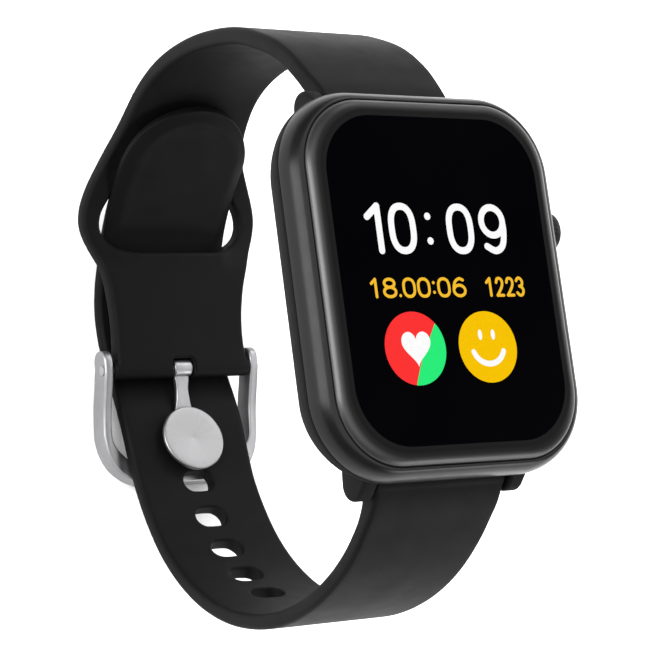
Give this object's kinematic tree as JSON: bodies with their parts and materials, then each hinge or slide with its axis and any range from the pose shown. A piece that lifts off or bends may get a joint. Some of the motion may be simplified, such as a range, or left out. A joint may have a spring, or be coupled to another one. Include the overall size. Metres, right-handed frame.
{
  "type": "smartwatch",
  "caption": "Square smartwatch with a bevelled glass, domed side crown and a closed silicone strap with tuck slot, buckle frame and disc tongue.",
  "frame": {"origin": "centre of the case back, the face that rests on the wrist", "axes": "+Z out through the display, +Y towards 12 o'clock, +X towards 3 o'clock, the crown side; the strap loop hangs on -Z"},
  "size_m": [0.0409, 0.0769, 0.068],
  "materials": {
    "frame_metal": "satin",
    "housing_black": "matte",
    "strap_silicone": "matte",
    "cover_glass": "polished",
    "display": "gloss",
    "seal": "matte",
    "steel": "satin",
    "steel_polished": "polished",
    "crown_black": "satin",
    "pcb": "gloss",
    "chip": "matte",
    "copper_flex": "satin",
    "battery": "satin",
    "inner_plastic": "matte",
    "gold": "polished",
    "magnet": "satin",
    "tungsten": "satin",
    "sensor_glass": "gloss",
    "led": "gloss"
  },
  "bodies": {
    "case": {"case_frame": "frame_metal", "rear_housing": "housing_black", "cover_glass": "cover_glass", "glass_gasket": "seal", "display_panel": "display", "display_flex": "copper_flex", "inner_frame": "inner_plastic", "battery": "battery", "main_board": "pcb", "board_shield": "steel", "board_chips": "chip", "antenna_flex": "copper_flex", "sensor_window": "sensor_glass", "sensor_barrier": "chip", "sensor_leds": "led", "sensor_board": "pcb", "charging_contacts": "gold", "charging_magnets": "magnet", "housing_gasket": "seal", "case_screws": "steel", "vibration_can": "steel", "vibration_shaft": "steel", "crown_bush": "gold", "crown_seal": "seal", "crown_switch": "chip", "lower_bar_tube": "steel", "lower_bar_spring": "steel"},
    "crown_press": {"switch_plunger": "steel"},
    "crown": {"crown_stem": "steel", "crown_clip": "steel", "crown_knob": "crown_black"},
    "motor_rotor": {"vibration_rotor": "tungsten"},
    "strap": {"upper_strap": "strap_silicone", "upper_bar_tube": "steel", "upper_bar_spring": "steel", "lower_strap": "strap_silicone", "buckle_bar": "steel"},
    "upper_release": {"upper_release_pin": "steel"},
    "lower_release": {"lower_release_pin": "steel"},
    "buckle": {"buckle_frame": "steel_polished"},
    "tongue": {"tongue": "steel_polished", "tongue_stud": "steel_polished"}
  },
  "joints": [
    {"name": "crown_push", "type": "slide", "parent": "case", "child": "crown_press", "axis": [-1, 0, 0], "range_m": [0, 0.0004], "stiffness_N_per_m": 3000},
    {"name": "crown_spin", "type": "hinge", "parent": "crown_press", "child": "crown", "pos_m": [0.0192, 0.0069, 0.0049], "axis": [1, 0, 0], "continuous": true},
    {"name": "motor_spin", "type": "hinge", "parent": "case", "child": "motor_rotor", "pos_m": [0.0109, -0.0089, 0.0025], "axis": [0, 0, 1], "continuous": true},
    {"name": "strap_swing", "type": "hinge", "parent": "case", "child": "strap", "pos_m": [0, 0.0224, 0.0027], "axis": [1, 0, 0], "range_deg": [-5, 5], "stiffness_Nm_per_rad": 0.5, "deforming": ["lower_strap"]},
    {"name": "upper_release_slide", "type": "slide", "parent": "strap", "child": "upper_release", "axis": [1, 0, 0], "range_m": [0, 0.00135], "stiffness_N_per_m": 900, "deforming": ["upper_bar_spring"]},
    {"name": "lower_release_slide", "type": "slide", "parent": "case", "child": "lower_release", "axis": [1, 0, 0], "range_m": [0, 0.00135], "stiffness_N_per_m": 900, "deforming": ["lower_bar_spring"]},
    {"name": "buckle_swing", "type": "hinge", "parent": "strap", "child": "buckle", "pos_m": [0, 0.0012, -0.0518], "axis": [1, 0, 0], "range_deg": [0, 75]},
    {"name": "tongue_swing", "type": "hinge", "parent": "strap", "child": "tongue", "pos_m": [0, 0.0012, -0.0518], "axis": [-1, 0, 0], "range_deg": [0, 75]}
  ]
}
